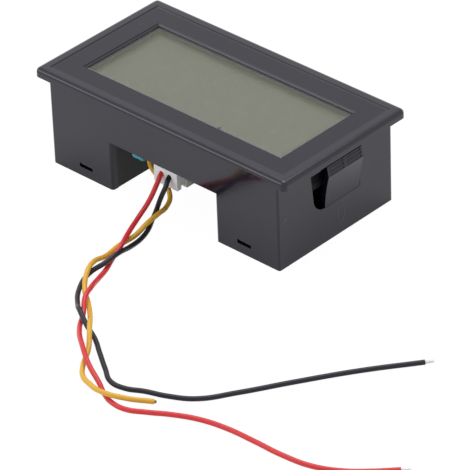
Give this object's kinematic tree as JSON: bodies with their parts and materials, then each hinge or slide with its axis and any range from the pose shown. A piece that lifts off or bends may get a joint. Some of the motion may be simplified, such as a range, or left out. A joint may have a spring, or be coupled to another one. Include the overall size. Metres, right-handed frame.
{
  "type": "digital panel meter",
  "caption": "Snap-in panel meter with a framed liquid crystal display, sprung side clips, and twisted leads from a plug in the notch of its rear.",
  "frame": {"origin": "centre of the rear face, on which the meter lies", "axes": "+Z the way the display looks, X along the long side, -Y the wall with the notch for the leads"},
  "size_m": [0.1478, 0.103, 0.0257],
  "materials": {
    "case": "moulded black-grey plastic, low gloss",
    "clip": "moulded black-grey plastic, low gloss",
    "cover": "moulded black-grey plastic, fine texture",
    "polariser": "smooth grey-green film",
    "glass": "clear ground-edge glass",
    "reflector": "matt silver film",
    "holder": "moulded black plastic",
    "elastomer": "banded silicone rubber",
    "board": "solder-masked glass-fibre board",
    "screw": "zinc-plated steel",
    "resin": "black potting resin",
    "resistor_blue": "lacquered, light blue",
    "resistor_tan": "lacquered, tan",
    "film_capacitor": "dipped in brown resin",
    "can_capacitor": "dark blue sleeve",
    "trimmer": "moulded blue plastic",
    "trimmer_rotor": "white plastic",
    "header": "natural nylon",
    "contact": "tin-plated brass",
    "plug": "white nylon",
    "red_insulation": "smooth red insulation",
    "black_insulation": "smooth black insulation",
    "yellow_insulation": "smooth yellow insulation",
    "tinned_wire": "tinned copper strands"
  },
  "bodies": {
    "meter": {"case": "case", "rear_cover": "cover", "lcd_front_polariser": "polariser", "lcd_front_glass": "glass", "lcd_rear_glass": "glass", "lcd_reflector": "reflector", "lcd_holder": "holder", "zebra_strip_front": "elastomer", "zebra_strip_back": "elastomer", "pcb": "board", "holder_screws": "screw", "controller_chip": "resin", "resistor_input": "resistor_blue", "resistor_divider": "resistor_blue", "resistor_reference": "resistor_blue", "resistor_oscillator": "resistor_tan", "capacitor_reference": "film_capacitor", "capacitor_integrator": "film_capacitor", "capacitor_supply": "can_capacitor", "trimmer_body": "trimmer", "header": "header", "header_pins": "contact", "plug": "plug", "plug_terminals": "contact", "lead_red": "red_insulation", "lead_black": "black_insulation", "lead_yellow": "yellow_insulation", "lead_red_tip": "tinned_wire", "lead_black_tip": "tinned_wire"},
    "left_clip": {"clip_left": "clip"},
    "right_clip": {"clip_right": "clip"},
    "trimmer": {"trimmer_rotor": "trimmer_rotor"}
  },
  "joints": [
    {"name": "left_clip_flex", "type": "hinge", "parent": "meter", "child": "left_clip", "pos_m": [-0.03545, 0.0022, 0.0094], "axis": [0, 1, 0], "range_deg": [0, 8], "stiffness_Nm_per_rad": 0.5},
    {"name": "right_clip_flex", "type": "hinge", "parent": "meter", "child": "right_clip", "pos_m": [0.03545, 0.0022, 0.0094], "axis": [0, -1, 0], "range_deg": [0, 8], "stiffness_Nm_per_rad": 0.5},
    {"name": "trimmer_turn", "type": "hinge", "parent": "meter", "child": "trimmer", "pos_m": [0.01, -0.006, 0.0117], "axis": [0, 0, 1], "range_deg": [-135, 135]}
  ]
}
